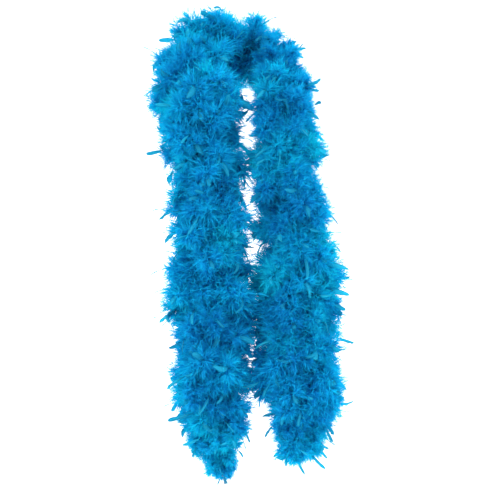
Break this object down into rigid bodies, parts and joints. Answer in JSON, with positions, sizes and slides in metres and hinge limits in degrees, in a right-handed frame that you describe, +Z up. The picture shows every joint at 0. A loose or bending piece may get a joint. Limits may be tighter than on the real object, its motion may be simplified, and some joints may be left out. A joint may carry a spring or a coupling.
{
  "type": "feather boa",
  "caption": "Turquoise feather boa: a limp twisted cord full of dyed turkey feathers, hung round a neck with a long and a short tail that swing in front.",
  "frame": {"origin": "where the boa touches the back of the neck", "axes": "+Z up, the wearer faces -Y, +X from the long tail to the short tail"},
  "size_m": [0.3838, 0.3738, 0.9151],
  "materials": {
    "feather": "dyed turkey vane, soft sheen",
    "down": "fluffy dyed down",
    "core_cord": "matte twisted cotton and polyester cord"
  },
  "bodies": {
    "collar": {"collar_core_cord": "core_cord", "left_shoulder_down": "down", "left_shoulder_feathers": "feather", "nape_down": "down", "nape_feathers": "feather", "right_shoulder_down": "down", "right_shoulder_feathers": "feather"},
    "long_tail_1": {"long_tail_1_core_cord": "core_cord", "long_tail_1_down": "down", "long_tail_1_feathers": "feather"},
    "long_tail_2": {"long_tail_2_core_cord": "core_cord", "long_tail_2_down": "down", "long_tail_2_feathers": "feather"},
    "long_tail_3": {"long_tail_3_core_cord": "core_cord", "long_tail_3_down": "down", "long_tail_3_feathers": "feather"},
    "long_tail_4": {"long_tail_4_core_cord": "core_cord", "long_tail_4_down": "down", "long_tail_4_feathers": "feather"},
    "long_tail_5": {"long_tail_5_core_cord": "core_cord", "long_tail_5_down": "down", "long_tail_5_feathers": "feather", "long_tail_end_knot": "core_cord", "long_tail_cord_end": "core_cord"},
    "short_tail_1": {"short_tail_1_core_cord": "core_cord", "short_tail_1_down": "down", "short_tail_1_feathers": "feather"},
    "short_tail_2": {"short_tail_2_core_cord": "core_cord", "short_tail_2_down": "down", "short_tail_2_feathers": "feather"},
    "short_tail_3": {"short_tail_3_core_cord": "core_cord", "short_tail_3_down": "down", "short_tail_3_feathers": "feather"},
    "short_tail_4": {"short_tail_4_core_cord": "core_cord", "short_tail_4_down": "down", "short_tail_4_feathers": "feather"},
    "short_tail_5": {"short_tail_5_core_cord": "core_cord", "short_tail_5_down": "down", "short_tail_5_feathers": "feather", "short_tail_end_knot": "core_cord", "short_tail_cord_end": "core_cord"}
  },
  "joints": [
    {"name": "long_tail_shoulder_lift", "type": "hinge", "parent": "collar", "child": "long_tail_1", "pos_m": [-0.082, -0.104, -0.102], "axis": [-1, 0, 0], "range_deg": [0, 50]},
    {"name": "long_tail_chest_bend", "type": "hinge", "parent": "long_tail_1", "child": "long_tail_2", "pos_m": [-0.0595, -0.159, -0.2585], "axis": [-1, 0, 0], "range_deg": [0, 40]},
    {"name": "long_tail_waist_sway", "type": "hinge", "parent": "long_tail_2", "child": "long_tail_3", "pos_m": [-0.055, -0.1675, -0.4285], "axis": [0, 1, 0], "range_deg": [0, 30]},
    {"name": "long_tail_lower_swing", "type": "hinge", "parent": "long_tail_3", "child": "long_tail_4", "pos_m": [-0.053, -0.1685, -0.542], "axis": [-1, 0, 0], "range_deg": [-20, 40]},
    {"name": "long_tail_end_sway", "type": "hinge", "parent": "long_tail_4", "child": "long_tail_5", "pos_m": [-0.048, -0.1675, -0.652], "axis": [0, 1, 0], "range_deg": [0, 30]},
    {"name": "short_tail_shoulder_lift", "type": "hinge", "parent": "collar", "child": "short_tail_1", "pos_m": [0.082, -0.1055, -0.102], "axis": [-1, 0, 0], "range_deg": [0, 50]},
    {"name": "short_tail_chest_bend", "type": "hinge", "parent": "short_tail_1", "child": "short_tail_2", "pos_m": [0.0945, -0.1595, -0.26], "axis": [-1, 0, 0], "range_deg": [0, 40]},
    {"name": "short_tail_waist_sway", "type": "hinge", "parent": "short_tail_2", "child": "short_tail_3", "pos_m": [0.106, -0.1675, -0.4305], "axis": [0, -1, 0], "range_deg": [0, 30]},
    {"name": "short_tail_lower_swing", "type": "hinge", "parent": "short_tail_3", "child": "short_tail_4", "pos_m": [0.1135, -0.1685, -0.5425], "axis": [-1, 0, 0], "range_deg": [-20, 40]},
    {"name": "short_tail_end_sway", "type": "hinge", "parent": "short_tail_4", "child": "short_tail_5", "pos_m": [0.119, -0.1675, -0.6505], "axis": [0, -1, 0], "range_deg": [0, 30]}
  ]
}
